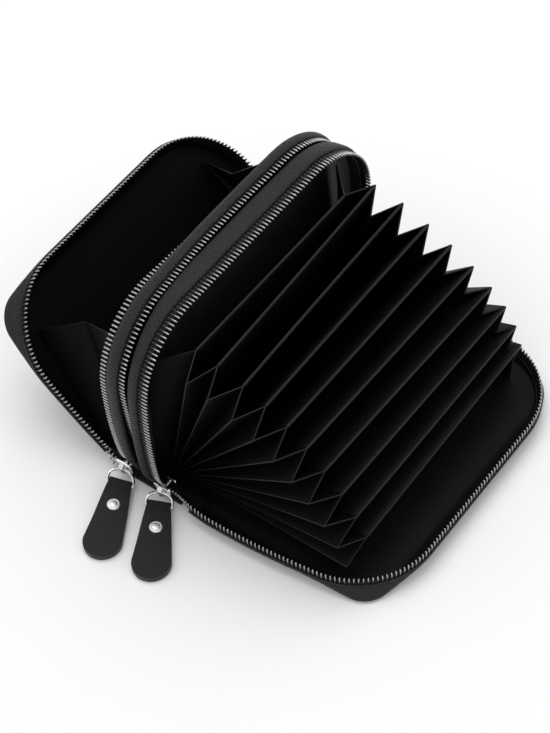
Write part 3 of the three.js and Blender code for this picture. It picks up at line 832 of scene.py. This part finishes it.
def split_tip(name, pieces, point, way):
    tips = []
    for piece in pieces:
        tip = piece.copy()
        tip.data = piece.data.copy()
        scene.collection.objects.link(tip)
        for part in (piece, tip):
            pick(part)
            bpy.ops.object.mode_set(mode="EDIT")
            bpy.ops.mesh.select_all(action="SELECT")
            bpy.ops.mesh.bisect(plane_co=point * MM, plane_no=way, use_fill=True,
                                clear_outer=part is piece, clear_inner=part is tip)
            leave(part, 50)
        tips.append(tip)
    return join(name, tips)


def close_flat(piece, i, axis, anchor, keep):
    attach(piece, f"leaf_{i}")
    anchor * MM
    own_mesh(piece)


def half_pleat(i, end, side, fold):
    def edge(t):
        return leaf_edge_point(i, end, t)

    def crease(t):
        return leaf_edge_point(0, end, t) if end == "far" and fold == 0 else fold_point(fold, end, t)

    return flap(f"leaf_{i}_{end}_{side}_pleat", edge, crease, 1 if end == "near" else -1)


for i, leaf in enumerate(leaves):
    sides = [("back", i - 1), ("front", i)] if i else [("front", i)]
    near = [half_pleat(i, "near", side, fold) for side, fold in sides]
    far = [half_pleat(i, "far", side, fold) for side, fold in sides if i]
    up = (leaf_edge_point(i, "near", 1) - leaf_edge_point(i, "near", 0)).normalized()
    for half, (side, fold) in zip(near, sides):
        edge = leaf_edge_point(i, "near", 0.9)
        way = fold_point(fold, "near", 0.9) - edge
        close_flat(half, i, way - up * way.dot(up), edge, keep=0.1)
    top = leaf_edge_point(i, "far", 1)
    way = ((top - leaf_edge_point(i, "far", 0)).normalized() + Vector((0, 1, 0))).normalized()
    tips = []
    for name, pieces, reach in (("tip", [leaf], LEAF_TIP), ("pleat_tips", far, PLEAT_TIP)):
        if pieces:
            tips.append(split_tip(f"leaf_{i}_{name}", pieces, top - way * reach, way))
            close_flat(tips[-1], i, way, top - way * reach, keep=0.05)
    for piece, keep in [(leaf, 0.3)] + [(half, 0.1) for half in far]:
        close_flat(piece, i, leaf_normal(i), fan(i, 0, 0, 0), keep)
    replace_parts(leaf, f"leaf_{i}")
    declare_sheet(leaf, LEAF_CUT, LEAF_CUT, LEAF_LONG if i else FIRST_LEAF_LONG, near + far + tips)
    if i == 0:
        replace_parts(near[0], "near_pleats", "far_pleats")
print("pleats on", LEAVES, "leaves")

# %% [markdown]
# The first leaf is joined to the front hoop by a web at each end, and the last fold to the front cover's lining by
# a flap. The webs reach from the hoop's wall to the first leaf and move with neither body; the flaps move with the
# cover.

# %% Webs and flaps
WEB_LONG = 61.0
for end, y0, y1, web_cut, flap_cut in (("near", -52.6, -50.5, (9.8, 19.3), (7.3, 20.2)),
                                       ("far", 53.0, 50.5, (19.0, 24.3), (4.1, 15.9))):
    wall = (lambda t: Vector((3.0, y0 + (y1 - y0) * t, 5.0 + 55.5 * t)))
    web = flap(f"first_web_{end}", wall, lambda t: leaf_edge_point(0, end, t), 0)
    wall(0.9) * MM
    leaf_edge_point(0, end, 0.9) * MM
    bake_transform(web)
    declare_sheet(web, *web_cut, WEB_LONG)
    seat = (lambda t: Vector((17.0 + 58.5 * t, (-40.0 if end == "near" else 46.0), 3.0)))
    last = flap(f"last_flap_{end}", seat, lambda t: fold_point(9, end, t), 0)
    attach(last, "front_cover")
    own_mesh(last)
    declare_sheet(last, *flap_cut, WEB_LONG)
    print(web.name, last.name)

# %% [markdown]
# Behind, the rear cover is held to its hoop by a gusset at each end, folded inwards along its middle.

# %% Rear gussets
rear_turn = COVERS["rear"]["turn"]
for end, out in (("near", -1), ("far", 1)):
    def cover_line(t):
        shut = Vector((-13.6 - 1.6 * t, out * (52.5 - 7.0 * t), 18.0 + 43.3 * t))
        return (rear_turn @ (shut * MM)) / MM

    def crease(t):
        return Vector((-12.0 - 21.0 * t, out * (50.5 - 11.5 * t), 7.0 + 38.2 * t))

    def hoop_line(t):
        return Vector((-5.6 - 2.0 * t, out * (53.5 - 4.5 * t), 8.0 + 56.0 * t))

    cover_flap = flap(f"rear_{end}_gusset_cover", cover_line, crease, 0)
    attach(cover_flap, "rear_cover")
    normal = rear_turn.to_3x3() @ Vector((1, 0, 0))
    cover_line(0.5) * MM
    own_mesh(cover_flap)
    hoop_flap = flap(f"rear_{end}_gusset_hoop", hoop_line, crease, 0)
    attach(hoop_flap, "spine")
    hoop_line(0.5) * MM
    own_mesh(hoop_flap)
    for piece, cut in ((cover_flap, (7.9, 21.6, 44.5)), (hoop_flap, (7.1, 33.1, 50.6))):
        declare_sheet(piece, *cut)
    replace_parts(cover_flap, f"rear_{end}_gusset")
print("rear gussets done")

# %% [markdown]
# ## Spine
# The spine is a flat strip of the same leather that the wallet stands on, lined inside. On each side a narrow
# strip carries on into the cover.

# %% Spine strips
def strip(name, x0, x1, z0, z1, near, far, finish):
    piece = loop_of(name, [(x, near, z) for x, z in ((x0, z0), (x1, z0), (x1, z1), (x0, z1))])
    bpy.ops.mesh.edge_face_add()
    for step in range(8):
        grow(y=(far - near) / 8)
    face_out(piece)
    return paint(round_edges(leave(piece), 0.3, segments=2), finish)


spine = strip("spine_strip", -9.0, 14.4, 0.0, 1.2, -56.2, 54.5, outer_leather)
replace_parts(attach(spine, "spine"), "spine_leather")
base = strip("fan_base", -8.4, 17.0, 1.5, 2.5, -51.0, 51.0, lining_leather)
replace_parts(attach(base, "spine"), "spine_board", "accordion_base")
for name, x0, x1, start, end in (("rear", -21.2, -8.8, -9.5, -20.5), ("front", 14.2, 22.8, 17.2, 22.0)):
    piece = strip(f"{name}_hinge_strip", x0, x1, 0.05, 1.1, -51.5, 51.5, outer_leather)
    piece.data.materials.append(lining_leather)
    for face in piece.data.polygons:
        face.material_index = 1 if face.normal.z > 0.3 else 0
    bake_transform(piece)
    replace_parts(piece, f"{name}_hinge_leather")
print("spine done")

# %% [markdown]
# ## Pulls
# A slider is a wedge-shaped plate with a lug on its face. The plate's outline is filled, drawn out and bevelled,
# and the lug is a small section spun half a turn, which leaves the hole that the ring hangs in.

# %% Sliders
SLIDER_UP, SLIDER_OUT = Vector((0, -0.234, 0.972)), Vector((0, -0.972, -0.234))


def rounded(corners, radius):
    points = []
    for k, corner in enumerate(corners):
        here = Vector(corner)
        first = here + (Vector(corners[k - 1]) - here).normalized() * radius
        last = here + (Vector(corners[(k + 1) % len(corners)]) - here).normalized() * radius
        for t in (0.0, 0.25, 0.5, 0.75, 1.0):
            points.append((1 - t) ** 2 * first + 2 * t * (1 - t) * here + t * t * last)
    return points


def plate(name, corners, radius, low, high, bevel):
    piece = loop_of(name, [(p.x, p.y, low) for p in rounded(corners, radius)])
    bpy.ops.mesh.edge_face_add()
    grow(z=high - low)
    face_out(piece)
    return round_edges(leave(piece), bevel, segments=3)


def make_slider(name):
    outer = plate("outer_plate", [(-2.5, -4.4), (2.5, -4.4), (3.7, 2.2), (-3.7, 2.2)],
                  radius=1.2, low=0.3, high=1.35, bevel=0.3)
    inner = plate("inner_plate", [(-2.2, -4.2), (2.2, -4.2), (2.5, 0.5), (-2.5, 0.5)],
                  radius=0.9, low=-3.6, high=-2.9, bevel=0.2)
    neck = plate("neck", [(-0.6, -1.2), (0.6, -1.2), (0.6, 0.3), (-0.6, 0.3)],
                 radius=0.3, low=-3.2, high=0.6, bevel=0.1)
    lug = loop_of("lug", [(-0.95, -2.6, 1.0), (0.95, -2.6, 1.0), (0.95, -1.75, 1.0), (-0.95, -1.75, 1.0)])
    spin(14, 180, 0.0, 1.0)
    cap(lug)
    round_edges(leave(lug), 0.25, segments=2)
    slider = join(f"{name}_zip_slider", [outer, inner, neck, lug])
    return settle(slider, set_down(SLIDER[name], Vector((1, 0, 0)), SLIDER_UP.normalized()))


for name in ("rear", "front"):
    slider = make_slider(name)
    bpy.ops.object.shade_smooth_by_angle(angle=math.radians(40))
    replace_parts(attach(paint(slider, nickel), f"{name}_slider"), f"{name}_slider")
    print(slider.name, len(slider.data.polygons), "faces")

# %% [markdown]
# A wire ring hangs in the lug: a bow at the top and a straight bar that the leather tab is folded round. A curve
# with a round bevel is the quickest way to a bent wire, made a mesh afterwards.

# %% Rings
BAR = {"rear": Vector((-6.3, -62.1, 2.7)), "front": Vector((9.7, -61.8, 2.7))}
TAB_ROLL = math.radians(13)
LUG_REACH, RING_HALF, WIRE = 2.35, 4.35, 1.05


def tab_axes(name):
    turn = TAB_TURN[name]
    ahead = Vector((math.sin(turn), -math.cos(turn), 0))
    level = Vector((math.cos(turn), math.sin(turn), 0))
    return ahead, level, level * math.cos(TAB_ROLL) - Vector((0, 0, 1)) * math.sin(TAB_ROLL)


def wire(name, points, thick):
    object_mode()
    bpy.ops.curve.primitive_bezier_circle_add(radius=0.01)
    curve = bpy.context.object
    curve.data.splines.clear()
    spline = curve.data.splines.new("POLY")
    spline.points.add(len(points) - 1)
    for target, point in zip(spline.points, points):
        target.co = (*(point * MM), 1)
    spline.use_cyclic_u = True
    curve.data.bevel_depth = thick / 2 * MM
    curve.data.bevel_resolution = 3
    bpy.ops.object.convert(target="MESH")
    made = bpy.context.object
    made.name = made.data.name = name
    bpy.ops.object.shade_smooth()
    return made


for name in ("rear", "front"):
    across = tab_axes(name)[2]
    top = SLIDER[name] + SLIDER_OUT * LUG_REACH
    reach = BAR[name] - top
    points = []
    for k in range(29):
        a = math.pi * k / 28
        points.append(top + across * (RING_HALF * math.cos(a)) + reach * (0.8 * (1 - math.sin(a) ** 0.8)))
    for c, back in ((-RING_HALF, 0.06), (-4.1, 0.0), (0, 0.0), (4.1, 0.0), (RING_HALF, 0.06)):
        points.append(BAR[name] + across * c - reach * back)
    ring_wire = wire(f"{name}_pull_ring", points, WIRE)
    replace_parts(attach(paint(ring_wire, nickel), f"{name}_ring"), f"{name}_ring")
    print(ring_wire.name, len(ring_wire.data.polygons), "faces")

# %% [markdown]
# The leather tab widens to a round end and lies down on the table. It is a grid with the tab's width at each step,
# sloped from the ring's bar to the table and rolled with the bar at its top, then thickened and bevelled.

# %% Tabs
TAB_LONG = {"rear": 28.4, "front": 27.6}
TAB_TOP, TAB_ROUND = 3.9, 6.5
TAB_THICK, TAB_FOLD, TAB_LIES = 2.0, 1.3, 1.15


def tab_point(name, a, c, lift=0.0):
    ahead, level, across = tab_axes(name)
    down = smooth(a / 15)
    side = across.lerp(level, smooth(a / 18)).normalized()
    middle = BAR[name] + ahead * a + Vector((0, 0, (TAB_LIES - BAR[name].z) * down))
    return middle + side * c + ahead.cross(side) * lift


for name in ("rear", "front"):
    long = TAB_LONG[name]
    centre = long - TAB_ROUND

    def place(s, t):
        a = -TAB_FOLD + (long + TAB_FOLD) * (1 - (1 - t) ** 1.7)
        wide = TAB_TOP + (TAB_ROUND - TAB_TOP) * clamp(a / centre) ** 0.9
        if a > centre:
            wide = math.sqrt(max(TAB_ROUND**2 - (a - centre) ** 2, 0.02))
        return tab_point(name, a, (2 * s - 1) * wide)

    rows = [[place(s / 10, t / 34) for s in range(11)] for t in range(35)]
    tab = paint(loft(f"{name}_pull_tab", rows), tab_leather[name], tab_edge)
    round_edges(thicken(tab, TAB_THICK, rim=1), 0.35, segments=3, angle=60)
    bpy.ops.object.shade_smooth_by_angle(angle=math.radians(40))
    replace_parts(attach(tab, f"{name}_tab"), f"{name}_tab")
    print(tab.name, len(tab.data.polygons), "faces")

# %% [markdown]
# A domed rivet holds the fold. It is a ring drawn up and shrunk in steps, with a shallow groove round the dome.

# %% Rivets
RIVET_AT, RIVET_SEAT = 8.4, 0.9


def make_rivet(name):
    steps = [(2.2, 0.0), (2.25, 0.25), (2.15, 0.5), (1.85, 0.7), (1.6, 0.72), (1.5, 0.66), (1.35, 0.74),
             (0.9, 0.92), (0.3, 1.0)]
    angles = [math.pi / 16 * k for k in range(32)]
    r0, z0 = steps[0]
    piece = loop_of(name, [(r0 * math.cos(a), r0 * math.sin(a), z0) for a in angles])
    for (ra, za), (rb, zb) in zip(steps, steps[1:]):
        grow(z=zb - za)
        bpy.ops.transform.resize(value=(rb / ra, rb / ra, 1), center_override=(0, 0, zb * MM))
    cap(piece)
    return leave(piece, 60)


for name in ("rear", "front"):
    rivet = make_rivet(f"{name}_tab_rivet")
    foot = tab_point(name, RIVET_AT, 0)
    up = (tab_point(name, RIVET_AT, 0, 1) - foot).normalized()
    level = tab_axes(name)[1]
    side = (level - up * level.dot(up)).normalized()
    settle(rivet, set_down(foot + up * RIVET_SEAT, side, up.cross(side)))
    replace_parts(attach(paint(rivet, rivet_cap), f"{name}_tab"), f"{name}_rivet")
    print(rivet.name, len(rivet.data.polygons), "faces")

# %% [markdown]
# ## Floor, light and camera
# A pale floor lies under a white surround. One large soft light from above gives the leather its gradients. The
# camera stands where the photograph was taken from.

# %% Floor, light and camera
object_mode()
bpy.ops.mesh.primitive_plane_add(size=3.0, location=(0, 0, -0.0002))
floor = bpy.context.object
floor.name = "floor"
surface = Finish("pale floor")
paint(floor, surface.set(Base_Color=(0.95, 0.95, 0.95, 1), Roughness=0.9, Specular_IOR_Level=0.1))

world = bpy.data.worlds.new("white surround")
scene.world = world
world.use_nodes = True
world.node_tree.nodes["Background"].inputs[0].default_value = (1, 1, 1, 1)
world.node_tree.nodes["Background"].inputs[1].default_value = 0.85

bpy.ops.object.light_add(type="AREA", location=(-0.15, 0.1, 0.9))
lamp = bpy.context.object
lamp.data.size = 0.6
lamp.data.energy = 2.5
lamp.rotation_euler = (-lamp.location).to_track_quat("-Z", "Y").to_euler()

bpy.ops.object.camera_add(location=(0.308253, -0.341157, 0.580946),
                          rotation=[math.radians(a) for a in (38.34419, 3.47683, 36.60888)])
camera = bpy.context.object
camera.data.sensor_width = 36
camera.data.lens = 106.627
scene.camera = camera
scene.view_settings.view_transform = "Standard"
print("camera", tuple(round(v, 3) for v in camera.location))
